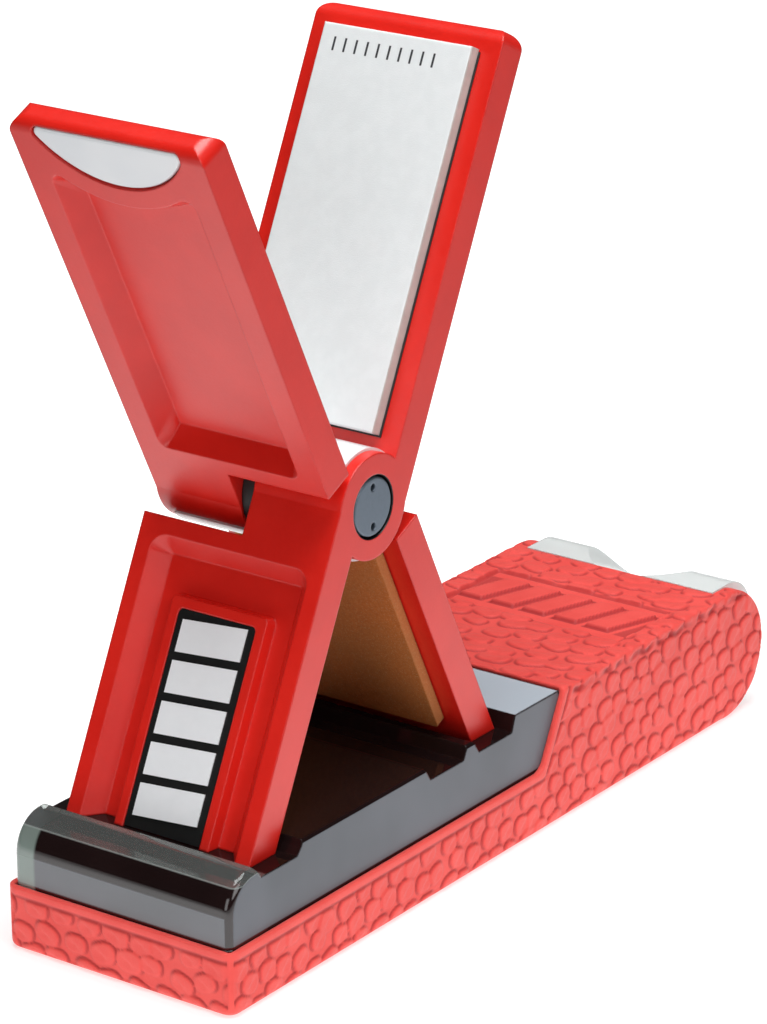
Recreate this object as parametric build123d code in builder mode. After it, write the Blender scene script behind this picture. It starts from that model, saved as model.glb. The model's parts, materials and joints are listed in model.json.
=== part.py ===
from build123d import *
import math
import os

os.makedirs("parts", exist_ok=True)

# Millimetres. X runs along the base towards the storage door, Y across, Z up.
# The origin is the middle of the underside.

# Base: a rubber sleeve around a plastic storage case
SLEEVE_HALF_W = 31.5
SKIN = 1.5
CASE_HALF_W = SLEEVE_HALF_W - SKIN
X_NEAR = -108.0
X_FAR = 108.0
CASE_X_NEAR = X_NEAR + SKIN
HANDLE_TOP = 33.0
HANDLE_X_FAR = 89.7
RIM_Z = 15.0
KNEE_X = 10.0
HANDLE_X_NEAR = 19.2
EAR_R = 16.5
EAR_X = X_FAR - EAR_R
LUG_FIT = 0.05
LUG_R = EAR_R - SKIN - LUG_FIT
LUG_IN_Y = 27.5
WALL = 3.0
CAVITY_HALF_W = CASE_HALF_W - WALL
CAVITY_X_NEAR = CASE_X_NEAR + WALL
CAVITY_Z0 = SKIN + 1.5
CAVITY_Z1 = 26.8
CASE_TOP_UNDER_SKIN = HANDLE_TOP - SKIN
LIP_T = 1.4
LIP_H = 1.5
LIP_FIT = 0.05
KNEE_R = 4.0
NEAR_CORNER_R = 3.0
UNDER_R = 1.6
HANDLE_EDGE_R = 1.3
CASE_CORNER_R = 2.0
DECK_EDGE_R = 1.0

# Grooved deck
FLOOR_Z = 28.3
DECK_Z = 31.3
HOOD_Z = 31.0
HOOD_R = 9.0
PLATFORM_Z = 32.2
PLATFORM_X_FAR = 18.4

# Pivot and arms
PIVOT_X = -47.3
PIVOT_Z = 96.7
LEAN = 26.0
ARM_HALF_W = 25.4
FACE_OUT = 11.6
UPPER_IN = 3.5
LOWER_IN = 3.2
ARM_TOP = 108.1
SHOULDER = 13.0
EAR_RADIUS = 12.0
NECK_GAP = 1.8
CROWN_OUT_R = 3.0
CROWN_IN_R = 3.6
CORNER_R = 3.6

# Upper pocket and crescent window on the outer face
POCKET_HALF_W = 19.0
POCKET_BOTTOM = 17.0
POCKET_DEPTH = 5.0
POCKET_TAPER = 34.0
POCKET_CORNER_R = 2.4
CRESCENT_TOP = 107.0
CRESCENT_R = 23.4
CRESCENT_C = CRESCENT_TOP + 10.8
CRESCENT_DEPTH = 3.0
CRESCENT_TIP_R = 1.6
CRESCENT_EDGE_R = 0.8
CRESCENT_SINK = 0.3
ARC_GAP = 4.7

# Lower recess, island and label on the outer face
RECESS_TOP = -17.0
RECESS_HALF_W = 21.5
RECESS_DEPTH = 4.0
RECESS_TAPER = 42.0
RECESS_CORNER_R = 4.0
ISLAND_TOP = -28.6
ISLAND_HALF_W = 13.6
ISLAND_H = 2.6
ISLAND_CORNER_R = 1.6
ISLAND_TAPER = 12.0
PLATE_END = -95.0
LABEL_HALF_W = 10.6
LABEL_TOP = ISLAND_TOP - 3.0
LABEL_DEPTH = 0.9
LABEL_CORNER_R = 1.2
LABEL_SINK = 0.1
LABEL_FOOT_GAP = 0.4
BAR_H = 7.3
BAR_PITCH = 9.2
BAR_HALF_W = 8.7
BAR_SLANT = 0.7
BAR_RISE = 0.4
BAR_MARGIN = 1.6
BAR_COUNT = 5

# Abrasives
FIT = 0.15
TAPE = 0.3
TAPE_INSET = 0.6
TAPE_SHOWS = 0.4
STONE_HALF_W = 20.0
STONE_BOTTOM = 15.5
STONE_TOP = 102.6
STONE_EDGE_R = 0.4
STROP_HALF_W = 20.1
STROP_TOP = -15.5
STROP_BOTTOM = -71.5
STROP_CORNER_R = 0.8

# White guards round the ear, at the bottom of each V
GUARD_OUT_R = 12.6
GUARD_IN_R = 9.8
GUARD_FLANGE = 2.8
GUARD_END_Z = 3.5
GUARD_PLAY = 0.04

# Pivot hardware
HEAD_R = 6.7
HEAD_T = 2.8
CBORE_R = 7.25
CBORE_DEPTH = 3.0
BARREL_R = 4.0
BARREL_BORE_R = 2.52
BARREL_BORE_END = -10.0
SCREW_R = 2.5
SCREW_END = -8.0
BUSH_R = 5.5
PRESS_FIT = 0.01
RUN_FIT = 0.06
SPANNER_OFFSET = 4.5
SPANNER_R = 0.9
SPANNER_DEPTH = 1.6
WASHER_R = 11.4
WASHER_T = 3.5
WASHER_FIT = 0.05
FACE_CHAMFER = 0.3
HEAD_SINK = 0.1

# Storage door
PIN_X = 91.8
PIN_Z = 3.4
PIN_R = 1.0
PIN_END_Y = CASE_HALF_W - 0.6
DOOR_HALF_W = 27.3
DOOR_GAP = 0.3
DOOR_TOP = 32.9
DOOR_CROWN_R = 10.5
DOOR_CHEEK_Y = 25.8
DOOR_FACE_X = 92.4
DOOR_ROOF_Z = 27.0
DOOR_HOLLOW_X = 101.5
DOOR_HOLLOW_Z0 = 8.0
DOOR_HOLLOW_Z1 = 24.5
SCOOP_R = 24.0
SCOOP_SLOPE = 26.0
SCOOP_DEPTH = 1.2
KNUCKLE_R = 2.1
HEEL_X = 96.3
HEEL_Z = 2.2


def extrude_y(y0, y1, mode=Mode.ADD):
    """Extrude the pending XZ sketch, drawn at y0, as far as y1."""
    extrude(amount=y1 - y0, dir=(0, 1, 0), mode=mode)


def xz(y):
    return Plane(origin=(0, y, 0), x_dir=(1, 0, 0), z_dir=(0, -1, 0))


def box(x0, x1, y0, y1, z0, z1, mode=Mode.ADD):
    centre = ((x0 + x1) / 2, (y0 + y1) / 2, (z0 + z1) / 2)
    with Locations(centre):
        Box(x1 - x0, y1 - y0, z1 - z0, mode=mode)


def rod(x, z, radius, y0, y1, mode=Mode.ADD):
    with Locations(Location((x, (y0 + y1) / 2, z), (90, 0, 0))):
        Cylinder(radius, y1 - y0, mode=mode)


# ---------------------------------------------------------------- base

# Rubber sleeve: low tray at the near end, full height around the handle
with BuildPart() as grip_sleeve:
    with BuildSketch(xz(-SLEEVE_HALF_W)):
        Polygon(*[
            (X_NEAR, 0), (EAR_X, 0), (EAR_X, HANDLE_TOP), (HANDLE_X_NEAR, HANDLE_TOP),
            (KNEE_X, RIM_Z), (X_NEAR, RIM_Z)], align=None)
    extrude_y(-SLEEVE_HALF_W, SLEEVE_HALF_W)
    knee = grip_sleeve.edges().filter_by(Axis.Y).sort_by_distance((KNEE_X, 0, RIM_Z))[0]
    fillet(knee, KNEE_R)
    near_corners = grip_sleeve.edges().filter_by(Axis.Z).group_by(Axis.X)[0]
    fillet(near_corners, NEAR_CORNER_R)
    under_edges = grip_sleeve.edges().group_by(Axis.Z)[0].filter_by(Axis.X)
    fillet(under_edges, UNDER_R)
    rod(EAR_X, EAR_R, EAR_R, -SLEEVE_HALF_W, SLEEVE_HALF_W)
    handle_corners = grip_sleeve.edges().group_by(Axis.Z)[-1].filter_by(Axis.X)
    fillet([e for e in handle_corners if abs(e.center().Y) > CASE_HALF_W], HANDLE_EDGE_R)
    box(CASE_X_NEAR, HANDLE_X_FAR, -CASE_HALF_W, CASE_HALF_W, SKIN, CASE_TOP_UNDER_SKIN, Mode.SUBTRACT)
    box(CASE_X_NEAR, HANDLE_X_NEAR, -CASE_HALF_W, CASE_HALF_W, RIM_Z - 1, HANDLE_TOP + 1, Mode.SUBTRACT)
    box(HANDLE_X_FAR, X_FAR + 1, -LUG_IN_Y, LUG_IN_Y, -1, HANDLE_TOP + 1, Mode.SUBTRACT)
    for side in (-1, 1):
        lug_y = sorted((side * LUG_IN_Y, side * CASE_HALF_W))
        rod(EAR_X, EAR_R, EAR_R - SKIN, lug_y[0], lug_y[1], Mode.SUBTRACT)
        box(HANDLE_X_FAR - 1, EAR_X, lug_y[0], lug_y[1], SKIN, CASE_TOP_UNDER_SKIN, Mode.SUBTRACT)
grip_sleeve.part.label = "grip_sleeve"
export_step(grip_sleeve.part, "parts/grip_sleeve.step")

# Lower half of the storage case, with the lugs that carry the door
with BuildPart() as case_bottom:
    box(CASE_X_NEAR, HANDLE_X_FAR, -CASE_HALF_W, CASE_HALF_W, SKIN, RIM_Z)
    box(CAVITY_X_NEAR - LIP_T, HANDLE_X_FAR, -CAVITY_HALF_W - LIP_T, CAVITY_HALF_W + LIP_T,
        RIM_Z, RIM_Z + LIP_H)
    box(CAVITY_X_NEAR, HANDLE_X_FAR, -CAVITY_HALF_W, CAVITY_HALF_W, CAVITY_Z0, RIM_Z + LIP_H, Mode.SUBTRACT)
    for side in (-1, 1):
        lug_y = sorted((side * LUG_IN_Y, side * CASE_HALF_W))
        rod(EAR_X, EAR_R, LUG_R, lug_y[0], lug_y[1])
        box(HANDLE_X_FAR - 1, EAR_X, lug_y[0], lug_y[1], EAR_R - LUG_R, EAR_R + LUG_R)
        pin_y = sorted((side * LUG_IN_Y, side * PIN_END_Y))
        rod(PIN_X, PIN_Z, PIN_R, pin_y[0], pin_y[1], Mode.SUBTRACT)
    box(X_NEAR, HANDLE_X_FAR, -SLEEVE_HALF_W, -CAVITY_HALF_W - LIP_T, RIM_Z, HANDLE_TOP, Mode.SUBTRACT)
    box(X_NEAR, HANDLE_X_FAR, CAVITY_HALF_W + LIP_T, SLEEVE_HALF_W, RIM_Z, HANDLE_TOP, Mode.SUBTRACT)
    box(0, HANDLE_X_FAR, -CAVITY_HALF_W - LIP_T, CAVITY_HALF_W + LIP_T,
        RIM_Z + LIP_H, HANDLE_TOP, Mode.SUBTRACT)
    case_corners = case_bottom.edges().filter_by(Axis.Z).group_by(Axis.X)[0]
    fillet(case_corners, CASE_CORNER_R)
case_bottom.part.label = "case_bottom"
export_step(case_bottom.part, "parts/case_bottom.step")

# Upper half of the case: near-end hood, three cross grooves, platform, handle roof
with BuildPart() as case_top:
    with BuildSketch(xz(-CASE_HALF_W)):
        Polygon(*[
            (CASE_X_NEAR, RIM_Z), (HANDLE_X_FAR, RIM_Z), (HANDLE_X_FAR, CASE_TOP_UNDER_SKIN),
            (PLATFORM_X_FAR, CASE_TOP_UNDER_SKIN), (PLATFORM_X_FAR, PLATFORM_Z), (0.7, PLATFORM_Z),
            (-0.6, FLOOR_Z), (-13.9, FLOOR_Z), (-15.9, DECK_Z),
            (-18.4, DECK_Z), (-19.9, FLOOR_Z), (-32.9, FLOOR_Z), (-34.8, DECK_Z),
            (-80.2, DECK_Z), (-80.9, 30.0), (-82.4, FLOOR_Z), (-95.2, FLOOR_Z), (-97.1, HOOD_Z),
            (CASE_X_NEAR, HOOD_Z)], align=None)
    extrude_y(-CASE_HALF_W, CASE_HALF_W)
    hood_edge = case_top.edges().filter_by(Axis.Y).sort_by_distance((CASE_X_NEAR, 0, HOOD_Z))[0]
    fillet(hood_edge, HOOD_R)
    top_corners = case_top.edges().filter_by(Axis.Z).group_by(Axis.X)[0]
    fillet(top_corners, CASE_CORNER_R)
    rims = case_top.edges().filter_by(Axis.X).filter_by(lambda e: abs(e.center().Z - DECK_Z) < 0.1)
    fillet(rims, DECK_EDGE_R)
    box(CAVITY_X_NEAR, HANDLE_X_FAR, -CAVITY_HALF_W, CAVITY_HALF_W, RIM_Z, CAVITY_Z1, Mode.SUBTRACT)
    groove_half_w = CAVITY_HALF_W + LIP_T + LIP_FIT
    box(CAVITY_X_NEAR - LIP_T - LIP_FIT, HANDLE_X_FAR, -groove_half_w, groove_half_w,
        RIM_Z, RIM_Z + LIP_H + LIP_FIT, Mode.SUBTRACT)
case_top.part.label = "case_top"
export_step(case_top.part, "parts/case_top.step")

# Hinged door between the lugs: a shell with a finger scoop in its top edge
DOOR_X0 = HANDLE_X_FAR + DOOR_GAP
with BuildPart() as end_door:
    box(DOOR_X0, X_FAR, -DOOR_HALF_W, DOOR_HALF_W, EAR_R, DOOR_TOP)
    crown_edge = end_door.edges().filter_by(Axis.Y).sort_by_distance((X_FAR, 0, DOOR_TOP))[0]
    fillet(crown_edge, DOOR_CROWN_R)
    with BuildSketch(xz(-DOOR_HALF_W)):
        with Locations((EAR_X, EAR_R)):
            Circle(EAR_R)
        with Locations((DOOR_X0 - 20, EAR_R)):
            Rectangle(40, 60, mode=Mode.SUBTRACT)
        with Locations((EAR_X, EAR_R + 20)):
            Rectangle(60, 40, mode=Mode.SUBTRACT)
    extrude_y(-DOOR_HALF_W, DOOR_HALF_W)
    box(DOOR_X0 - 1, HEEL_X, -DOOR_HALF_W - 1, DOOR_HALF_W + 1, -1, HEEL_Z, Mode.SUBTRACT)
    box(DOOR_X0 - 1, PIN_X, -DOOR_HALF_W - 1, DOOR_HALF_W + 1, -1, PIN_Z + KNUCKLE_R, Mode.SUBTRACT)
    box(DOOR_X0 - 1, DOOR_FACE_X, -DOOR_CHEEK_Y, DOOR_CHEEK_Y, -1, DOOR_ROOF_Z, Mode.SUBTRACT)
    box(DOOR_X0 - 1, DOOR_HOLLOW_X, -DOOR_CHEEK_Y + 1, DOOR_CHEEK_Y - 1,
        DOOR_HOLLOW_Z0, DOOR_HOLLOW_Z1, Mode.SUBTRACT)
    for side in (-1, 1):
        cheek_y = sorted((side * DOOR_CHEEK_Y, side * DOOR_HALF_W))
        rod(PIN_X, PIN_Z, KNUCKLE_R, cheek_y[0], cheek_y[1])
        rod(PIN_X, PIN_Z, PIN_R + RUN_FIT, cheek_y[0] - 1, cheek_y[1] + 1, Mode.SUBTRACT)
    # The scoop starts just below the roof's inner edge and runs down outwards
    scoop_start = Location((DOOR_X0, 0, DOOR_TOP - SCOOP_DEPTH), (0, SCOOP_SLOPE, 0))
    with Locations(scoop_start * Location((0, 0, SCOOP_R), (0, 90, 0))):
        Cylinder(SCOOP_R, 60.0, mode=Mode.SUBTRACT)
end_door.part.label = "end_door"
export_step(end_door.part, "parts/end_door.step")

# Two stub pins for the door, each pressed into a lug
with BuildPart() as door_pins:
    for side in (-1, 1):
        pin_y = sorted((side * (DOOR_CHEEK_Y + 0.2), side * PIN_END_Y))
        rod(PIN_X, PIN_Z, PIN_R, pin_y[0], pin_y[1])
door_pins.part.label = "door_pins"
export_step(door_pins.part, "parts/door_pins.step")

# ---------------------------------------------------------------- arms

# Each arm is drawn upright about its pivot: Z runs up the arm and X across its thickness.
# The lower plate is on the -X side, the upper plate on the +X side, the neck on the -Y half.
arm_places = {
    "arm_1": Location((PIVOT_X, 0, PIVOT_Z), (0, LEAN, 0)),
    "arm_2": Location((PIVOT_X, 0, PIVOT_Z), (0, -LEAN, 0)) * Location((0, 0, 0), (0, 0, 180)),
}
lean = math.radians(LEAN)
FOOT_DROP = PIVOT_Z - FLOOR_Z


def export_on_both(part, name):
    """Place a part made in the arm's own frame on both arms, one node each."""
    for arm, place in arm_places.items():
        copy_on_arm = part.moved(place)
        copy_on_arm.label = f"{arm}_{name}"
        export_step(copy_on_arm, f"parts/{arm}_{name}.step")


def foot_z(x):
    """Height of the foot face, which lies flat on the groove floor, at x across the arm."""
    return (x * math.sin(lean) - FOOT_DROP) / math.cos(lean)


def below_foot(lift):
    """Everything under the foot face, raised by lift, as an XZ outline."""
    Polygon((-20, foot_z(-20) + lift), (10, foot_z(10) + lift), (10, -120), (-20, -120), align=None)


def out_plane(x):
    """Sketch plane facing the upper plate's outer side: local x runs along Y."""
    return Plane(origin=(x, 0, 0), x_dir=(0, 1, 0), z_dir=(1, 0, 0))


def low_plane(x):
    """Sketch plane facing the lower plate's outer side: local x runs against Y."""
    return Plane(origin=(x, 0, 0), x_dir=(0, -1, 0), z_dir=(-1, 0, 0))


def crescent_outline(shrink):
    """Straight top edge with a round belly, all corners eased."""
    radius = CRESCENT_R - shrink
    with Locations((0, CRESCENT_C)):
        Circle(radius)
    with Locations((0, CRESCENT_TOP - shrink + 40)):
        Rectangle(100, 80, mode=Mode.SUBTRACT)


def guard_ring(side, play):
    """Arc round the ear from a plate's inner face: side 1 by the upper plate, -1 by the lower."""
    y0 = -ARM_HALF_W + GUARD_FLANGE + play
    plate_in = UPPER_IN if side > 0 else LOWER_IN
    x0, x1 = sorted((-side * GUARD_OUT_R, side * (plate_in - play)))
    z0, z1 = sorted((side * (GUARD_END_Z + play), side * GUARD_OUT_R))
    rod(0, 0, GUARD_OUT_R, y0, -NECK_GAP)
    rod(0, 0, GUARD_IN_R + play, y0, -NECK_GAP, Mode.SUBTRACT)
    box(x0, x1, y0, -NECK_GAP, z0, z1, Mode.INTERSECT)


with BuildPart() as upper_seat:
    guard_ring(1, 0)
with BuildPart() as lower_seat:
    guard_ring(-1, 0)

with BuildPart() as arm_frame:
    # Upper plate: a rounded crown and eased top corners, with crisp long edges
    box(UPPER_IN, FACE_OUT, -ARM_HALF_W, ARM_HALF_W, SHOULDER, ARM_TOP)
    crown = arm_frame.edges().filter_by(Axis.Y).group_by(Axis.Z)[-1].sort_by(Axis.X)
    fillet(crown[1], CROWN_OUT_R)
    crown = arm_frame.edges().filter_by(Axis.Y).sort_by_distance((UPPER_IN, 0, ARM_TOP))
    fillet(crown[0], CROWN_IN_R)
    with BuildSketch(out_plane(UPPER_IN - 1)) as outline:
        with Locations((0, (SHOULDER + ARM_TOP) / 2)):
            Rectangle(ARM_HALF_W * 2, ARM_TOP - SHOULDER)
        fillet(outline.vertices().group_by(Axis.Y)[-1], CORNER_R)
    extrude(amount=FACE_OUT - UPPER_IN + 2, mode=Mode.INTERSECT)
    # Lower plate
    box(-FACE_OUT, -LOWER_IN, -ARM_HALF_W, ARM_HALF_W, PLATE_END, -SHOULDER)
    # Half-width neck and ear
    rod(0, 0, EAR_RADIUS, -ARM_HALF_W, -NECK_GAP)
    box(-FACE_OUT, -LOWER_IN, -ARM_HALF_W, -NECK_GAP, -SHOULDER, 0)
    box(UPPER_IN, FACE_OUT, -ARM_HALF_W, -NECK_GAP, 0, SHOULDER)
    # Pocket with sloping walls in the upper outer face
    with BuildSketch(out_plane(FACE_OUT)) as pocket:
        with Locations((0, (POCKET_BOTTOM + ARM_TOP) / 2)):
            Rectangle(POCKET_HALF_W * 2, ARM_TOP - POCKET_BOTTOM)
        with Locations((0, CRESCENT_C)):
            Circle(CRESCENT_R + ARC_GAP, mode=Mode.SUBTRACT)
        fillet(pocket.vertices(), POCKET_CORNER_R)
    extrude(amount=-POCKET_DEPTH, taper=POCKET_TAPER, mode=Mode.SUBTRACT)
    # Crescent seat
    with BuildSketch(out_plane(FACE_OUT + 1)) as seat:
        crescent_outline(0)
        fillet(seat.vertices(), CRESCENT_TIP_R)
    extrude(amount=-CRESCENT_DEPTH - 1, mode=Mode.SUBTRACT)
    # Recess with a raised island in the lower outer face, both running out at the foot
    with BuildSketch(low_plane(-FACE_OUT)) as recess:
        with Locations((0, (RECESS_TOP + PLATE_END) / 2)):
            Rectangle(RECESS_HALF_W * 2, RECESS_TOP - PLATE_END)
        fillet(recess.vertices(), RECESS_CORNER_R)
    extrude(amount=-RECESS_DEPTH, taper=RECESS_TAPER, mode=Mode.SUBTRACT)
    with BuildSketch(low_plane(-FACE_OUT + RECESS_DEPTH)) as island:
        with Locations((0, (ISLAND_TOP + PLATE_END) / 2)):
            Rectangle(ISLAND_HALF_W * 2, ISLAND_TOP - PLATE_END)
        fillet(island.vertices(), ISLAND_CORNER_R)
    extrude(amount=ISLAND_H, taper=ISLAND_TAPER)
    with BuildSketch(low_plane(-FACE_OUT + RECESS_DEPTH - ISLAND_H)) as label_seat:
        with Locations((0, (LABEL_TOP + PLATE_END) / 2)):
            Rectangle(LABEL_HALF_W * 2, LABEL_TOP - PLATE_END)
        fillet(label_seat.vertices(), LABEL_CORNER_R)
    extrude(amount=-LABEL_DEPTH, mode=Mode.SUBTRACT)
    # The foot lies flat on the groove floor
    with BuildSketch(xz(-ARM_HALF_W - 1)):
        below_foot(0)
    extrude_y(-ARM_HALF_W - 1, ARM_HALF_W + 1, Mode.SUBTRACT)
    # Seats for the guards
    add(upper_seat.part, mode=Mode.SUBTRACT)
    add(lower_seat.part, mode=Mode.SUBTRACT)
    # Bore for the bush and counterbore for the pivot head
    rod(0, 0, BUSH_R, -ARM_HALF_W - 1, 0, Mode.SUBTRACT)
    rod(0, 0, CBORE_R, -ARM_HALF_W - 1, -ARM_HALF_W + CBORE_DEPTH, Mode.SUBTRACT)
export_on_both(arm_frame.part, "frame")

# White ceramic stone, eased at its working edges, on a pad of tape
with BuildPart() as stone:
    box(FIT, UPPER_IN - TAPE, -STONE_HALF_W, STONE_HALF_W, STONE_BOTTOM, STONE_TOP)
    fillet(stone.faces().sort_by(Axis.X)[0].edges(), STONE_EDGE_R)
export_on_both(stone.part, "ceramic_stone")

with BuildPart() as stone_tape:
    box(UPPER_IN - TAPE, UPPER_IN, -STONE_HALF_W - TAPE_SHOWS, STONE_HALF_W + TAPE_SHOWS,
        STONE_BOTTOM - TAPE_SHOWS, STONE_TOP - TAPE_INSET)
export_on_both(stone_tape.part, "stone_tape")

# Leather strop on its own pad of tape
with BuildPart() as strop:
    box(-LOWER_IN + TAPE, -FIT, -STROP_HALF_W, STROP_HALF_W, STROP_BOTTOM, STROP_TOP)
    fillet(strop.edges().filter_by(Axis.X), STROP_CORNER_R)
export_on_both(strop.part, "strop_pad")

with BuildPart() as strop_tape:
    box(-LOWER_IN, -LOWER_IN + TAPE, -STROP_HALF_W + TAPE_INSET, STROP_HALF_W - TAPE_INSET,
        STROP_BOTTOM + TAPE_INSET, STROP_TOP - TAPE_INSET)
export_on_both(strop_tape.part, "strop_tape")

# Label plate with a generic row of slanted bars
LABEL_X = -FACE_OUT + RECESS_DEPTH - ISLAND_H + LABEL_DEPTH
with BuildPart() as label_plate:
    with BuildSketch(low_plane(LABEL_X)) as plate:
        with Locations((0, (LABEL_TOP + PLATE_END) / 2)):
            Rectangle(LABEL_HALF_W * 2 - 2 * FIT, LABEL_TOP - PLATE_END - 2 * FIT)
        fillet(plate.vertices(), LABEL_CORNER_R - 0.1)
    extrude(amount=LABEL_DEPTH - LABEL_SINK)
    with BuildSketch(low_plane(LABEL_X - LABEL_DEPTH + LABEL_SINK)):
        for i in range(BAR_COUNT):
            mid = LABEL_TOP - BAR_MARGIN - BAR_H / 2 - BAR_PITCH * i
            low, high = mid - BAR_H / 2, mid + BAR_H / 2
            Polygon((-BAR_HALF_W, low - BAR_SLANT), (BAR_HALF_W, low + BAR_SLANT),
                    (BAR_HALF_W, high + BAR_SLANT), (-BAR_HALF_W, high - BAR_SLANT), align=None)
    extrude(amount=BAR_RISE)
    with BuildSketch(xz(-ARM_HALF_W)):
        below_foot(LABEL_FOOT_GAP)
    extrude_y(-ARM_HALF_W, ARM_HALF_W, Mode.SUBTRACT)
export_on_both(label_plate.part, "label_plate")

# White crescent, a little below the face, with a rounded rim
with BuildPart() as crescent:
    with BuildSketch(out_plane(FACE_OUT - CRESCENT_DEPTH)) as blank:
        crescent_outline(FIT)
        fillet(blank.vertices(), CRESCENT_TIP_R - 0.1)
    extrude(amount=CRESCENT_DEPTH - CRESCENT_SINK)
    fillet(crescent.faces().sort_by(Axis.X)[-1].edges(), CRESCENT_EDGE_R)
export_on_both(crescent.part, "crescent_insert")

# White guards round the ear
with BuildPart() as upper_guard:
    guard_ring(1, GUARD_PLAY)
export_on_both(upper_guard.part, "stone_side_guard")

with BuildPart() as lower_guard:
    guard_ring(-1, GUARD_PLAY)
export_on_both(lower_guard.part, "strop_side_guard")

# Plain bush in each neck
with BuildPart() as bush:
    rod(0, 0, BUSH_R - PRESS_FIT, -ARM_HALF_W + CBORE_DEPTH, -NECK_GAP)
    rod(0, 0, BARREL_R + RUN_FIT, -ARM_HALF_W, 0, Mode.SUBTRACT)
export_on_both(bush.part, "pivot_bush")

# ---------------------------------------------------------------- pivot


def spanner_holes(y_face, inward):
    """Two blind holes for a pin spanner, in line with the upright."""
    for side in (-1, 1):
        span = sorted((y_face - inward, y_face + inward * SPANNER_DEPTH))
        rod(PIVOT_X, PIVOT_Z + side * SPANNER_OFFSET, SPANNER_R, span[0], span[1], Mode.SUBTRACT)


HEAD_FACE = ARM_HALF_W - HEAD_SINK
with BuildPart() as pivot_barrel_nut:
    rod(PIVOT_X, PIVOT_Z, HEAD_R, -HEAD_FACE, -HEAD_FACE + HEAD_T)
    rod(PIVOT_X, PIVOT_Z, BARREL_R, -HEAD_FACE + HEAD_T, HEAD_FACE - HEAD_T)
    rod(PIVOT_X, PIVOT_Z, BARREL_BORE_R, BARREL_BORE_END, HEAD_FACE, Mode.SUBTRACT)
    face_edge = pivot_barrel_nut.edges().filter_by(GeomType.CIRCLE).sort_by(Axis.Y)[0]
    chamfer(face_edge, FACE_CHAMFER)
    spanner_holes(-HEAD_FACE, 1)
pivot_barrel_nut.part.label = "pivot_barrel_nut"
export_step(pivot_barrel_nut.part, "parts/pivot_barrel_nut.step")

with BuildPart() as pivot_screw:
    rod(PIVOT_X, PIVOT_Z, HEAD_R, HEAD_FACE - HEAD_T, HEAD_FACE)
    rod(PIVOT_X, PIVOT_Z, SCREW_R, SCREW_END, HEAD_FACE - HEAD_T)
    face_edge = pivot_screw.edges().filter_by(GeomType.CIRCLE).sort_by(Axis.Y)[-1]
    chamfer(face_edge, FACE_CHAMFER)
    spanner_holes(HEAD_FACE, -1)
pivot_screw.part.label = "pivot_screw"
export_step(pivot_screw.part, "parts/pivot_screw.step")

# Thick black washer between the two necks
with BuildPart() as friction_washer:
    rod(PIVOT_X, PIVOT_Z, WASHER_R, -WASHER_T / 2, WASHER_T / 2)
    rod(PIVOT_X, PIVOT_Z, BARREL_R + WASHER_FIT, -WASHER_T, WASHER_T, Mode.SUBTRACT)
friction_washer.part.label = "friction_washer"
export_step(friction_washer.part, "parts/friction_washer.step")
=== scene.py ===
import json
import math

import bpy
import numpy as np
from mathutils import Matrix, Vector


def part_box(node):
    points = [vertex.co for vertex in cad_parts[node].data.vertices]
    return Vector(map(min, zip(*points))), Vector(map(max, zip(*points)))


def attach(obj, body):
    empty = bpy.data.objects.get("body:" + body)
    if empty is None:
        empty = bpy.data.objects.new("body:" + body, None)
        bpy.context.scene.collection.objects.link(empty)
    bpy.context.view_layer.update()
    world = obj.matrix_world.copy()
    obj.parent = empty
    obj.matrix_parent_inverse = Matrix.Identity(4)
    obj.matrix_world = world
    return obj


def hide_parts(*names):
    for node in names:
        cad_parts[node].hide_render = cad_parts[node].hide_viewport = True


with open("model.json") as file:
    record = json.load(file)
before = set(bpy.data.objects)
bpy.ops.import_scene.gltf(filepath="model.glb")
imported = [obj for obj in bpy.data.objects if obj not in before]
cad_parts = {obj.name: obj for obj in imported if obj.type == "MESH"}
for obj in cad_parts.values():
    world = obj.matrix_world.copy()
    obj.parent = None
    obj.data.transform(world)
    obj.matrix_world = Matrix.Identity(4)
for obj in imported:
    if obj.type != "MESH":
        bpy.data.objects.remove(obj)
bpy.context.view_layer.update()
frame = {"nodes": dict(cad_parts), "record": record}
NODES = frame["nodes"]
SCENE = bpy.context.scene
MM = 0.001
ARMS = ("arm_1", "arm_2")
VIEW_ANGLES = (-53.576, 20.007, -0.559)
VIEW_TARGET = (-0.0184, 0.0, 0.0893)
VIEW_DISTANCE = 0.9913
VIEW_LENS = 154.8
VIEW_SHIFT = (0.0248, -0.0324)
BEHIND_OBJECT = (0.76, 0.56, 0.30)
EYE_WHITE = 1.05
CARD_WHITE = 1.4
ROOM_DARK = 0.10
KEY_WATTS = 5.5
FILL_WATTS = 2.4
TOP_WATTS = 19
rng = np.random.default_rng(7)


def arm_axes(arm):
    """Pivot point, direction up the arm and direction out of its upper plate, at rest."""
    joint = next(j for j in frame["record"]["behaviour"]["joints"] if j["name"] == f"{arm}_fold")
    side = 1 if arm == "arm_1" else -1
    lean = math.radians(max(abs(v) for v in joint["range_deg"]))
    up = Vector((side * math.sin(lean), 0, math.cos(lean)))
    out = Vector((side * math.cos(lean), 0, -math.sin(lean)))
    return Vector(joint["pos_m"]), up, out


# ------------------------------------------------------------ camera and stage

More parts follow.
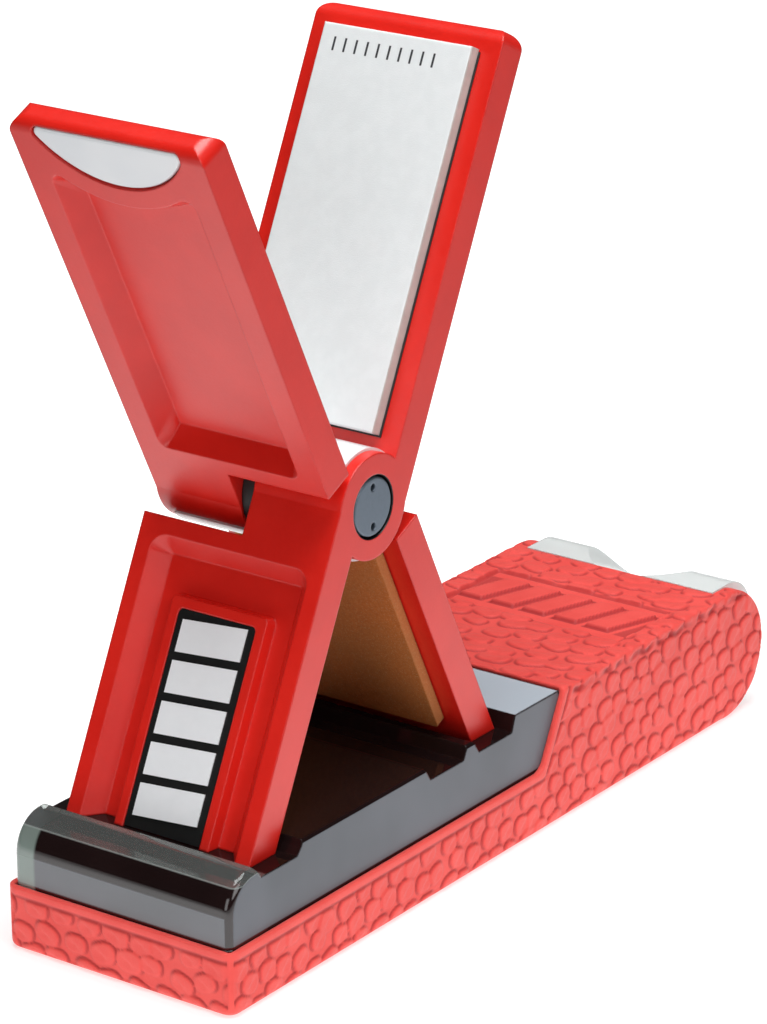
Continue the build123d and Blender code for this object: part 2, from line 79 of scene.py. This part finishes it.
def make_camera():
    az, el, roll = (math.radians(v) for v in VIEW_ANGLES)
    back = Vector((math.sin(az) * math.cos(el), -math.cos(az) * math.cos(el), math.sin(el)))
    right = (-back).cross(Vector((0, 0, 1))).normalized()
    up = right.cross(-back)
    cam_x = right * math.cos(roll) + up * math.sin(roll)
    cam_y = up * math.cos(roll) - right * math.sin(roll)
    data = bpy.data.cameras.new("camera")
    data.sensor_width = 36.0
    data.lens = VIEW_LENS
    data.shift_x, data.shift_y = VIEW_SHIFT
    data.clip_start, data.clip_end = 0.05, 20.0
    cam = bpy.data.objects.new("camera", data)
    rot = Matrix((cam_x, cam_y, back)).transposed()
    cam.matrix_world = Matrix.Translation(Vector(VIEW_TARGET) + back * VIEW_DISTANCE) @ rot.to_4x4()
    SCENE.collection.objects.link(cam)
    SCENE.camera = cam


def area_light(name, location, aim, size, watts, color=(1, 1, 1)):
    data = bpy.data.lights.new(name, "AREA")
    data.shape = "RECTANGLE"
    data.size, data.size_y = size
    data.energy = watts
    data.color = color
    lamp = bpy.data.objects.new(name, data)
    lamp.location = location
    lamp.rotation_mode = "QUATERNION"
    lamp.rotation_quaternion = (Vector(aim) - Vector(location)).to_track_quat("-Z", "Y")
    SCENE.collection.objects.link(lamp)


def make_world():
    """White to the eye and behind the object; the rest of the room is dim, so gloss has contrast."""
    world = bpy.data.worlds.new("studio")
    SCENE.world = world
    world.use_nodes = True
    tree = world.node_tree
    coord = tree.nodes.new("ShaderNodeTexCoord").outputs["Generated"]
    path = tree.nodes.new("ShaderNodeLightPath")
    behind = tree.nodes.new("ShaderNodeVectorMath")
    behind.operation = "DOT_PRODUCT"
    behind.inputs[1].default_value = BEHIND_OBJECT
    tree.links.new(coord, behind.inputs[0])
    card = tree.nodes.new("ShaderNodeMapRange")
    card.interpolation_type = "SMOOTHSTEP"
    fade = {"From Min": 0.50, "From Max": 0.75, "To Min": ROOM_DARK, "To Max": CARD_WHITE}
    for key, value in fade.items():
        card.inputs[key].default_value = value
    tree.links.new(behind.outputs["Value"], card.inputs["Value"])
    seen = tree.nodes.new("ShaderNodeMix")
    seen.data_type = "FLOAT"
    seen.inputs[3].default_value = EYE_WHITE
    tree.links.new(card.outputs["Result"], seen.inputs[2])
    tree.links.new(path.outputs["Is Camera Ray"], seen.inputs["Factor"])
    tree.links.new(seen.outputs[0], tree.nodes["Background"].inputs["Strength"])


def make_stage():
    SCENE.view_settings.view_transform = "Standard"
    make_world()
    bpy.ops.mesh.primitive_plane_add(size=8, location=(0, 0, -0.0002))
    floor = bpy.context.object
    floor.name = "floor"
    floor.data.materials.append(floor_material())
    area_light("key", (-0.35, -1.1, 0.75), (-0.02, 0, 0.06), (0.8, 0.8), KEY_WATTS)
    area_light("fill", (-1.2, -0.2, 0.35), (0, 0, 0.05), (0.6, 0.6), FILL_WATTS)
    area_light("top", (-0.05, -0.1, 1.3), (0, 0, 0.05), (0.9, 0.9), TOP_WATTS)


# ------------------------------------------------------------ material helpers

class Graph:
    """Small helper for building a node tree around one Principled shader."""

    def __init__(self, name):
        self.mat = bpy.data.materials.new(name)
        self.mat.use_nodes = True
        self.tree = self.mat.node_tree
        self.bsdf = self.tree.nodes["Principled BSDF"]
        self.coord = self.add("ShaderNodeTexCoord").outputs["Object"]

    def add(self, kind, **props):
        node = self.tree.nodes.new(kind)
        for key, value in props.items():
            setattr(node, key, value)
        return node

    def link(self, out, socket):
        self.tree.links.new(out, socket)

    def put(self, socket, value):
        if hasattr(value, "links"):
            self.link(value, socket)
        else:
            socket.default_value = value

    def noise(self, scale, detail=3.0, rough=0.55, stretch=None):
        node = self.add("ShaderNodeTexNoise")
        node.inputs["Scale"].default_value = scale
        node.inputs["Detail"].default_value = detail
        node.inputs["Roughness"].default_value = rough
        vector = self.coord
        if stretch:
            mapping = self.add("ShaderNodeMapping")
            mapping.inputs["Scale"].default_value = stretch
            self.link(self.coord, mapping.inputs["Vector"])
            vector = mapping.outputs["Vector"]
        self.link(vector, node.inputs["Vector"])
        return node.outputs["Fac"]

    def ramp(self, fac, low, high, a=0.0, b=1.0):
        node = self.add("ShaderNodeMapRange", interpolation_type="SMOOTHSTEP")
        self.put(node.inputs["Value"], fac)
        for key, value in (("From Min", low), ("From Max", high), ("To Min", a), ("To Max", b)):
            node.inputs[key].default_value = value
        return node.outputs["Result"]

    def math(self, op, a, b=0.0):
        node = self.add("ShaderNodeMath", operation=op)
        self.put(node.inputs[0], a)
        self.put(node.inputs[1], b)
        return node.outputs[0]

    def mix(self, fac, a, b):
        node = self.add("ShaderNodeMix", data_type="RGBA")
        self.put(node.inputs["Factor"], fac)
        for socket, value in ((node.inputs[6], a), (node.inputs[7], b)):
            self.put(socket, value if hasattr(value, "links") else (*value, 1))
        return node.outputs[2]

    def mixf(self, fac, a, b):
        node = self.add("ShaderNodeMix", data_type="FLOAT")
        self.put(node.inputs["Factor"], fac)
        self.put(node.inputs[2], a)
        self.put(node.inputs[3], b)
        return node.outputs[0]

    def axis(self, vector):
        """Signed distance of the shading point along a direction, in metres."""
        node = self.add("ShaderNodeVectorMath", operation="DOT_PRODUCT")
        self.link(self.coord, node.inputs[0])
        node.inputs[1].default_value = vector
        return node.outputs["Value"]

    def along(self, point, vector):
        """Signed distance from a point along a direction, in metres."""
        return self.math("SUBTRACT", self.axis(vector), Vector(point).dot(Vector(vector)))

    def from_axle(self, point):
        """Distance from a line along Y through a point, in metres."""
        dx = self.along(point, (1, 0, 0))
        dz = self.along(point, (0, 0, 1))
        square = self.math("ADD", self.math("MULTIPLY", dx, dx), self.math("MULTIPLY", dz, dz))
        return self.math("SQRT", square)

    def facing(self, vector):
        """How far the surface faces along a direction, from -1 to 1."""
        geometry = self.add("ShaderNodeNewGeometry")
        node = self.add("ShaderNodeVectorMath", operation="DOT_PRODUCT")
        self.link(geometry.outputs["Normal"], node.inputs[0])
        node.inputs[1].default_value = vector
        return node.outputs["Value"]

    def attribute(self, name):
        return self.add("ShaderNodeAttribute", attribute_name=name).outputs["Fac"]

    def bump(self, height, distance, strength=1.0):
        node = self.add("ShaderNodeBump")
        node.inputs["Distance"].default_value = distance
        node.inputs["Strength"].default_value = strength
        self.link(height, node.inputs["Height"])
        self.link(self.rounded(), node.inputs["Normal"])
        self.link(node.outputs["Normal"], self.bsdf.inputs["Normal"])

    def rounded(self, radius=0.0006):
        """Normal that turns round sharp edges, so that they catch the light."""
        node = self.add("ShaderNodeBevel", samples=6)
        node.inputs["Radius"].default_value = radius
        return node.outputs["Normal"]

    def edge(self, radius):
        """1 on a sharp edge, 0 on flat ground."""
        geometry = self.add("ShaderNodeNewGeometry")
        node = self.add("ShaderNodeVectorMath", operation="DOT_PRODUCT")
        self.link(geometry.outputs["Normal"], node.inputs[0])
        self.link(self.rounded(radius), node.inputs[1])
        return self.ramp(node.outputs["Value"], 0.90, 0.985, 1.0, 0.0)

    def set(self, **values):
        for key, value in values.items():
            self.put(self.bsdf.inputs[key.replace("_", " ")], value)


def floor_material():
    """White sweep: to the eye only its soft shadow stays grey, and reflections of it fade with distance."""
    g = Graph("floor_white")
    tone = g.ramp(g.noise(3.0), 0.3, 0.7)
    x = g.math("DIVIDE", g.axis((1, 0, 0)), 0.13)
    y = g.math("DIVIDE", g.axis((0, 1, 0)), 0.05)
    away = g.math("SQRT", g.math("ADD", g.math("MULTIPLY", x, x), g.math("MULTIPLY", y, y)))
    seen = g.add("ShaderNodeLightPath").outputs["Is Camera Ray"]
    glow = g.mixf(seen, g.ramp(away, 1.6, 4.5, 1.0, 0.10), g.ramp(away, 0.9, 2.0, 0.60, 1.0))
    g.set(Base_Color=g.mix(tone, (0.44, 0.45, 0.45), (0.48, 0.49, 0.49)), Roughness=0.8)
    g.set(Specular_IOR_Level=0.1, Emission_Color=g.mix(tone, (1.0, 1.0, 1.0), (0.98, 0.98, 0.98)))
    g.set(Emission_Strength=glow)
    return g.mat


def rubber_material():
    g = Graph("rubber_red")
    painted_groove_shade = g.attribute("painted_groove_shade")
    tone = g.ramp(g.noise(90.0, 4.0), 0.3, 0.7)
    red = g.mix(tone, (0.80, 0.060, 0.048), (0.86, 0.078, 0.064))
    # Painted shade: dark red along the scale outlines, the bead line and the band under the top edge, where
    # shade falls.
    red = g.mix(g.math("MULTIPLY", painted_groove_shade, 0.9), red, (0.36, 0.008, 0.010))
    grain = g.noise(2600.0, 2.0)
    g.set(Base_Color=red, Roughness=g.ramp(grain, 0.2, 0.8, 0.55, 0.72), Sheen_Weight=0.2)
    g.bsdf.inputs["Sheen Tint"].default_value = (1.0, 0.75, 0.72, 1)
    g.bump(grain, 0.00004)
    return g.mat


def arm_material(arm):
    """Satin red, with painted shade: near black inside the counterbore round the pivot head."""
    pivot = arm_axes(arm)[0]
    g = Graph(f"{arm}_red")
    tone = g.ramp(g.noise(60.0, 4.0), 0.3, 0.7)
    red = g.mix(tone, (0.70, 0.013, 0.007), (0.77, 0.018, 0.010))
    # Painted shade: near black within the counterbore's radius, where the pivot head shades the gap.
    painted_bore_shade = g.ramp(g.from_axle(pivot), 0.0073, 0.0074, 1.0, 0.0)
    red = g.mix(painted_bore_shade, red, (0.006, 0.006, 0.006))
    grain = g.noise(1500.0, 3.0)
    g.set(Base_Color=red, Roughness=g.ramp(grain, 0.2, 0.8, 0.28, 0.38), IOR=1.6)
    g.bump(grain, 0.00002)
    return g.mat


HOOD_LENGTH = 0.0125
HOOD_CLEAR = 0.0040
HOOD_PALE_END = 0.0060
HOOD_GREY_FRONT = 0.0072
RIM_RADIUS = 0.0009


def smoke_material():
    """Dark smoke plastic, satin on its flat faces. Painted reflection: grey on the sides and low on the
    hood front, pale on the platform top. The rims and a strip along the seam keep the dark colour as
    painted shade lines. A clear crest on the hood, and painted light as a pale patch near the hood's +Y
    end.
    """
    g = Graph("smoke_plastic")
    tone = g.ramp(g.noise(40.0, 2.0), 0.3, 0.7)
    dark = g.mix(tone, (0.010, 0.005, 0.005), (0.014, 0.007, 0.007))
    grey = g.mix(tone, (0.125, 0.135, 0.15), (0.15, 0.16, 0.18))
    # The painted grey stops short of the seam, leaving a dark strip there as a painted shadow line.
    seam = g.ramp(g.along((0, 0, CASE_TOP_LO.z), (0, 0, 1)), 0.0004, 0.0009)
    # Rims keep the dark colour too, as painted shade lines.
    off_edge = g.math("SUBTRACT", 1.0, g.edge(RIM_RADIUS))
    # Painted reflection: the sides facing +Y and -Y are grey.
    side = g.math("MULTIPLY", g.ramp(g.math("ABSOLUTE", g.facing((0, 1, 0))), 0.93, 0.99), seam)
    side = g.math("MULTIPLY", side, off_edge)
    # Painted reflection: the platform top is pale blue-grey.
    platform = g.ramp(g.along((0, 0, CASE_TOP_HI.z - 0.0006), (0, 0, 1)), 0.0, 0.0002)
    level = g.ramp(g.facing((0, 0, 1)), 0.93, 0.99)
    platform = g.math("MULTIPLY", g.math("MULTIPLY", platform, level), off_edge)
    # Painted reflection: a grey band low on the hood front.
    low = g.ramp(g.along((0, 0, CASE_TOP_LO.z + HOOD_GREY_FRONT), (0, 0, 1)), 0.0, 0.0003, 1.0, 0.0)
    upright = g.ramp(g.facing((-1, 0, 0)), 0.93, 0.97)
    front = g.math("MULTIPLY", g.math("MULTIPLY", upright, low), seam)
    painted_reflection_mask = g.math("MAXIMUM", side, g.math("MULTIPLY", front, 0.8))
    colour = g.mix(painted_reflection_mask, dark, grey)
    colour = g.mix(platform, colour, (0.45, 0.52, 0.58))
    flat = g.math("MAXIMUM", painted_reflection_mask, platform)
    hood = g.ramp(g.along((CASE_TOP_LO.x + HOOD_LENGTH, 0, 0), (1, 0, 0)), 0.0, 0.001, 1.0, 0.0)
    crest = g.ramp(g.along((0, 0, CASE_TOP_HI.z - HOOD_CLEAR), (0, 0, 1)), 0.0, 0.0005)
    clear = g.math("MULTIPLY", g.math("MULTIPLY", hood, crest), g.math("SUBTRACT", 1.0, flat))
    # Painted light: a pale green-grey patch on the hood front near its +Y end, where light comes through
    # the end wall.
    pale_y = CASE_TOP_HI.y - HOOD_PALE_END
    end = g.ramp(g.axis((0, 1, 0)), pale_y - 0.0005, pale_y + 0.0005)
    end = g.math("MULTIPLY", g.math("MULTIPLY", end, hood), g.ramp(g.facing((-1, 0, 0)), 0.05, 0.3))
    pale = g.mix(tone, (0.17, 0.21, 0.19), (0.25, 0.31, 0.28))
    colour = g.mix(g.math("MULTIPLY", end, 0.9), colour, pale)
    g.set(Base_Color=g.mix(clear, colour, (0.66, 0.72, 0.69)), Roughness=g.mixf(flat, 0.04, 0.35))
    glossy = g.math("MULTIPLY", hood, g.math("SUBTRACT", 1.0, side))
    g.set(Coat_Weight=clear, IOR=g.mixf(clear, 1.6, 1.03), Specular_IOR_Level=g.mixf(glossy, 0.12, 0.6))
    g.set(Transmission_Weight=g.math("MULTIPLY", clear, 0.9))
    g.link(g.rounded(), g.bsdf.inputs["Normal"])
    return g.mat


def door_material():
    """The same smoke plastic as a single thin wall, painted near white for the light that comes through it
    from behind.
    """
    g = Graph("smoke_door")
    tone = g.ramp(g.noise(40.0, 2.0), 0.3, 0.7)
    # Painted light: near white in place of the dark smoke colour.
    colour = g.mix(tone, (0.93, 0.98, 0.97), (0.96, 1.0, 0.99))
    g.set(Base_Color=colour, Roughness=g.ramp(tone, 0.0, 1.0, 0.10, 0.16), IOR=1.45)
    g.set(Transmission_Weight=g.ramp(tone, 0.0, 1.0, 0.22, 0.30))
    g.link(g.rounded(), g.bsdf.inputs["Normal"])
    return g.mat


def stone_material(arm):
    """Fine ceramic with painted shade on the sides, which are greyer and warmer, and a printed row of plain
    ticks near the top.
    """
    pivot, up, out = arm_axes(arm)
    g = Graph(f"{arm}_ceramic")
    tone = g.ramp(g.noise(260.0, 5.0), 0.35, 0.7)
    white = g.mix(tone, (0.77, 0.80, 0.805), (0.80, 0.83, 0.835))
    # Painted shade: the sides facing +Y and -Y get a darker, warmer copy of the white.
    side = g.ramp(g.math("ABSOLUTE", g.facing((0, 1, 0))), 0.6, 0.8)
    white = g.mix(side, white, g.mix(tone, (0.55, 0.52, 0.49), (0.62, 0.59, 0.56)))
    top = max((v.co - pivot).dot(up) for v in NODES[f"{arm}_ceramic_stone"].data.vertices)
    high = g.along(pivot, up)
    band = g.ramp(g.math("ABSOLUTE", g.math("SUBTRACT", high, top - 0.0046)), 0.0015, 0.0017, 1.0, 0.0)
    across = g.math("MULTIPLY", g.axis((0, 1, 0)), 1 if arm == "arm_1" else -1)
    lane = g.math("PINGPONG", g.math("ADD", across, 0.05), 0.0015)
    tick = g.ramp(lane, 0.00022, 0.00034, 1.0, 0.0)
    reach = g.math("ABSOLUTE", g.math("SUBTRACT", across, 0.0024))
    row = g.math("MULTIPLY", band, g.ramp(reach, 0.0142, 0.0144, 1.0, 0.0))
    front = g.ramp(g.facing(-out), 0.8, 0.9)
    print_and_shade = g.math("MULTIPLY", g.math("MULTIPLY", row, tick), front)
    white = g.mix(print_and_shade, white, (0.03, 0.03, 0.035))
    grain = g.noise(3500.0, 2.0)
    g.set(Base_Color=white, Roughness=g.ramp(grain, 0.2, 0.8, 0.6, 0.8))
    g.bump(grain, 0.00004)
    return g.mat


def strop_material():
    g = Graph("strop_brown")
    fibre = g.noise(1100.0, 5.0, 0.7)
    speck = g.ramp(g.noise(2400.0, 2.0, 0.8), 0.56, 0.66)
    patch = g.ramp(g.noise(70.0, 4.0), 0.3, 0.7)
    brown = g.mix(fibre, (0.38, 0.090, 0.016), (0.70, 0.23, 0.06))
    brown = g.mix(g.math("MULTIPLY", patch, 0.35), brown, (0.38, 0.16, 0.05))
    brown = g.mix(g.math("MULTIPLY", speck, 0.45), brown, (0.60, 0.34, 0.16))
    # Painted light: the sides facing +Y and -Y get a lighter, less red copy of the brown.
    side = g.ramp(g.math("ABSOLUTE", g.facing((0, 1, 0))), 0.6, 0.8)
    brown = g.mix(g.math("MULTIPLY", side, 0.4), brown, (0.45, 0.20, 0.09))
    g.set(Base_Color=brown, Roughness=0.85, Specular_IOR_Level=0.15)
    g.bump(fibre, 0.0002)
    return g.mat


def tape_material():
    # Near-black tape; where it shows below a stone's bottom edge, it also stands in for the shade line
    # there (painted shade).
    g = Graph("tape_grey")
    tone = g.noise(500.0, 3.0)
    g.set(Base_Color=g.mix(tone, (0.012, 0.012, 0.012), (0.03, 0.03, 0.03)), Roughness=0.7)
    g.bump(tone, 0.00003)
    return g.mat


def insert_material():
    g = Graph("insert_white")
    tone = g.ramp(g.noise(50.0, 2.0), 0.3, 0.7)
    g.set(Base_Color=g.mix(tone, (0.80, 0.82, 0.85), (0.86, 0.87, 0.89)), Roughness=0.18, Coat_Weight=0.3)
    return g.mat


def steel_material(name, low, high, rough):
    g = Graph(name)
    brush = g.noise(900.0, 3.0, stretch=(1.0, 0.05, 1.0))
    g.set(Base_Color=g.mix(brush, low, high), Metallic=0.75)
    g.set(Roughness=g.ramp(brush, 0.2, 0.8, rough, rough + 0.15))
    g.bump(brush, 0.00001)
    return g.mat


def dull_material(name, low, high, rough):
    g = Graph(name)
    tone = g.noise(400.0, 3.0)
    g.set(Base_Color=g.mix(tone, low, high), Roughness=rough)
    g.bump(tone, 0.00003)
    return g.mat


def assign(node, material):
    slots = NODES[node].data.materials
    slots.clear()
    slots.append(material)


# ------------------------------------------------------------ rubber sleeve

SLEEVE_LO, SLEEVE_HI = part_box("grip_sleeve")
CASE_TOP_LO, CASE_TOP_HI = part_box("case_top")
RIM_Z = CASE_TOP_LO.z * 1000
HALF_W = SLEEVE_HI.y * 1000
TOP_Z = SLEEVE_HI.z * 1000
NEAR_X = SLEEVE_LO.x * 1000
FAR_X = SLEEVE_HI.x * 1000
KNEE = (10.0, RIM_Z)
FRONT = (19.2, TOP_Z)
PANEL_X = (51.5, 74.0)
PANEL_HALF_Y = 25.0


def smooth(value, low, high):
    t = np.clip((value - low) / (high - low), 0, 1)
    return t * t * (3 - 2 * t)


def scale_centres(u0, u1, v0, v1, du, dv, jitter):
    """Brick-laid centres with random offsets."""
    centres = []
    for row, v in enumerate(np.arange(v0 - dv, v1 + 2 * dv, dv)):
        for u in np.arange(u0 - du, u1 + 2 * du, du):
            shift = rng.uniform(-jitter, jitter, 2)
            centres.append((u + du * (0.5 * (row % 2) + shift[0]), v + dv * shift[1]))
    return np.array(centres)


def scales(points, centres, half_u, half_v, lead):
    """Separate round-cornered scales: (height 0..1, painted shade 0..1 along each outline, darkest on the
    lead side), steepest on the lead side.
    """
    height = np.zeros(len(points))
    painted_groove_shade = np.zeros(len(points))
    lead = np.array(lead) / np.hypot(*lead)
    size = rng.uniform(0.86, 1.12, len(centres))
    turn = rng.uniform(-0.45, 0.45, len(centres))
    for start in range(0, len(points), 4000):
        offset = points[start:start + 4000][:, None, :] - centres[None]
        u = (offset[..., 0] * np.cos(turn) + offset[..., 1] * np.sin(turn)) / (half_u * size)
        v = (offset[..., 1] * np.cos(turn) - offset[..., 0] * np.sin(turn)) / (half_v * size)
        reach = (np.abs(u) ** 2.6 + np.abs(v) ** 2.6) ** (1 / 2.6)
        near = reach.argmin(axis=1)
        rows = np.arange(len(near))
        edge = (reach[rows, near] - 1) * min(half_u, half_v)
        toward = offset[rows, near] @ lead / np.hypot(*offset[rows, near].T).clip(0.1)
        proud = 0.45 + 0.55 * smooth(toward, -0.9, 0.6)
        height[start:start + 4000] = proud * (1 - smooth(edge, -0.45, 0.1))
        # Painted shade: the outline is darkest on the lead side, beside the step where shadow falls.
        print_and_shade = 0.12 + 0.88 * smooth(toward, -0.35, 0.3)
        painted_groove_shade[start:start + 4000] = (1 - smooth(np.abs(edge - 0.05), 0.0, 0.42)) * print_and_shade
    return height, painted_groove_shade


def rim_distance(x, z):
    """Distance in the side view from the line where the rubber meets the smoke plastic."""
    along = np.where(x < KNEE[0], np.abs(RIM_Z - z), np.hypot(x - KNEE[0], z - KNEE[1]))
    run = np.array(FRONT) - np.array(KNEE)
    run = run / np.hypot(*run)
    dx, dz = x - KNEE[0], z - KNEE[1]
    slant = np.where(dz > 0, np.abs(dx * run[1] - dz * run[0]), 1e3)
    return np.minimum(along, slant)


def remeshed(node, voxel):
    """A fine even mesh over a CAD solid, as a new object."""
    source = NODES[node]
    temp = bpy.data.objects.new("temp", source.data.copy())
    SCENE.collection.objects.link(temp)
    mod = temp.modifiers.new("remesh", "REMESH")
    mod.mode = "VOXEL"
    mod.voxel_size = voxel
    mod.adaptivity = 0.0
    depsgraph = bpy.context.evaluated_depsgraph_get()
    mesh = bpy.data.meshes.new_from_object(temp.evaluated_get(depsgraph))
    bpy.data.objects.remove(temp)
    return mesh


def panel_relief(x, y):
    """Bordered panel with five slanted bars, as (depth in mm, inside 0..1, painted shade 0..1 along the
    border line and round each bar).
    """
    mid_x = sum(PANEL_X) / 2
    half_x = (PANEL_X[1] - PANEL_X[0]) / 2
    out = np.maximum(np.abs(x - mid_x) - half_x, np.abs(y) - PANEL_HALF_Y)
    inside = 1 - smooth(out, -0.2, 0.4)
    line = 1 - smooth(np.abs(out), 0.2, 0.7)
    pitch = 9.2
    lane = y + 0.35 * (x - mid_x)
    index = np.round(lane / pitch)
    bar = np.maximum(np.abs(lane - index * pitch) - 3.2, np.abs(x - mid_x) - 7.0)
    bar = np.maximum(bar, np.abs(index) - 2.4)
    raised = 1 - smooth(bar, -0.25, 0.35)
    depth = inside * 1.0 * (1 - raised) + 0.3 * line
    # Painted shade: the border line and the bar outlines are darkened where shade falls.
    shade = np.maximum(line * 0.8, (1 - smooth(np.abs(bar - 0.25), 0.2, 0.65)) * inside)
    return depth, inside, shade


def make_sleeve():
    mesh = remeshed("grip_sleeve", 0.36 * MM)
    count = len(mesh.vertices)
    co = np.zeros(count * 3)
    no = np.zeros(count * 3)
    mesh.vertices.foreach_get("co", co)
    mesh.vertices.foreach_get("normal", no)
    co = co.reshape(-1, 3) * 1000
    no = no.reshape(-1, 3)
    x, y, z = co.T
    depth = np.zeros(count)
    painted_groove_shade = np.zeros(count)
    rim = rim_distance(x, z)

    for sign in (-1, 1):
        pick = np.where((no[:, 1] * sign > 0.55) & (y * sign > HALF_W - 0.4))[0]
        centres = scale_centres(NEAR_X, FAR_X, 0, TOP_Z, 6.4, 5.4, 0.2)
        tall, dark = scales(co[pick][:, [0, 2]], centres, 3.1, 2.65, (-0.7, 0.7))
        weight = smooth(rim[pick], 2.2, 3.0) * smooth(np.abs(no[pick, 1]), 0.6, 0.9)
        depth[pick] = 0.55 * (1 - tall) * weight
        # Painted shade along the scale outlines of the sides.
        painted_groove_shade[pick] = dark * weight
        # A wavy, broken dent line under the top edge, painted dark for the shaded undersides of the top
        # scales.
        ridge = np.abs(TOP_Z - 2.2 - z[pick] + 0.35 * np.sin(0.9 * x[pick]))
        lump = (1 - smooth(ridge, 0.35, 1.1)) * smooth(x[pick], FRONT[0], FRONT[0] + 3)
        broken = 0.55 + 0.45 * np.sin(0.75 * x[pick] + np.sin(0.31 * x[pick]) * 2)
        depth[pick] += 0.4 * lump * broken
        painted_groove_shade[pick] = np.maximum(painted_groove_shade[pick], lump * broken)
        # A plain bead along the smoke rim, with a painted shade line beside it.
        bead = (1 - smooth(np.abs(rim[pick] - 2.3), 0.2, 0.7))
        depth[pick] += 0.35 * bead
        painted_groove_shade[pick] = np.maximum(painted_groove_shade[pick], 0.8 * bead)

    pick = np.where((no[:, 2] > 0.55) & (z > TOP_Z - 0.4))[0]
    centres = scale_centres(FRONT[0], FAR_X, -HALF_W, HALF_W, 5.8, 8.4, 0.2)
    tall, dark = scales(co[pick][:, :2], centres, 2.8, 4.0, (-1.0, -0.3))
    panel, inside, shade = panel_relief(x[pick], y[pick])
    weight = (1 - inside) * smooth(no[pick, 2], 0.6, 0.9)
    depth[pick] = 0.5 * (1 - tall) * weight + panel
    # Painted shade along the top scale outlines and round the panel's border and bars.
    painted_groove_shade[pick] = np.maximum(dark * weight, shade)

    pick = np.where((no[:, 0] < -0.55) & (x < NEAR_X + 0.4))[0]
    centres = scale_centres(-HALF_W, HALF_W, 0, RIM_Z, 7.4, 5.4, 0.2)
    tall, dark = scales(co[pick][:, [1, 2]], centres, 3.55, 2.6, (-0.5, 0.85))
    weight = smooth(RIM_Z - z[pick], 2.2, 3.0)
    # The same bead and painted shade line on the near end face.
    bead = (1 - smooth(np.abs(RIM_Z - z[pick] - 2.3), 0.2, 0.7))
    depth[pick] = 0.55 * (1 - tall) * weight + 0.35 * bead
    painted_groove_shade[pick] = np.maximum(dark * weight, 0.8 * bead)

    co -= no * depth[:, None]
    mesh.vertices.foreach_set("co", (co / 1000).ravel())
    mesh.update()
    # The painted shade is stored on the mesh for the rubber material.
    layer = mesh.attributes.new("painted_groove_shade", "FLOAT", "POINT")
    layer.data.foreach_set("value", painted_groove_shade.astype(np.float32))
    for poly in mesh.polygons:
        poly.use_smooth = True
    sleeve = bpy.data.objects.new("grip_sleeve_skin", mesh)
    SCENE.collection.objects.link(sleeve)
    mesh.materials.clear()
    mesh.materials.append(rubber_material())
    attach(sleeve, "base")
    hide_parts("grip_sleeve")


# ------------------------------------------------------------ carried-over CAD nodes

def label_material(arm):
    """Black plate, white where the bars stand above it."""
    g = Graph(f"{arm}_label")
    tone = g.noise(300.0, 3.0)
    outward = -arm_axes(arm)[2]
    verts = [v.co for v in NODES[f"{arm}_label_plate"].data.vertices]
    top = max(v.dot(outward) for v in verts)
    level = g.ramp(g.axis(outward), top - 0.00035, top - 0.0002)
    black = g.mix(tone, (0.006, 0.006, 0.006), (0.014, 0.014, 0.014))
    white = g.mix(tone, (0.84, 0.86, 0.88), (0.90, 0.92, 0.94))
    g.set(Base_Color=g.mix(level, black, white), Roughness=0.35)
    return g.mat


def dress_nodes():
    smoke = smoke_material()
    for node in ("case_bottom", "case_top"):
        assign(node, smoke)
    assign("end_door", door_material())
    strop = strop_material()
    tape = tape_material()
    insert = insert_material()
    bush = dull_material("bush_white", (0.5, 0.5, 0.48), (0.6, 0.6, 0.57), 0.5)
    for arm in ARMS:
        assign(f"{arm}_frame", arm_material(arm))
        assign(f"{arm}_ceramic_stone", stone_material(arm))
        assign(f"{arm}_stone_tape", tape)
        assign(f"{arm}_strop_pad", strop)
        assign(f"{arm}_strop_tape", tape)
        assign(f"{arm}_label_plate", label_material(arm))
        assign(f"{arm}_crescent_insert", insert)
        assign(f"{arm}_stone_side_guard", insert)
        assign(f"{arm}_strop_side_guard", insert)
        assign(f"{arm}_pivot_bush", bush)
    cap = steel_material("pivot_grey", (0.13, 0.16, 0.20), (0.20, 0.24, 0.29), 0.35)
    assign("pivot_barrel_nut", cap)
    assign("pivot_screw", cap)
    washer = dull_material("washer_black", (0.006, 0.006, 0.006), (0.015, 0.015, 0.015), 0.5)
    assign("friction_washer", washer)
    assign("door_pins", steel_material("pin_steel", (0.4, 0.4, 0.4), (0.5, 0.5, 0.5), 0.3))


make_camera()
make_stage()
make_sleeve()
dress_nodes()
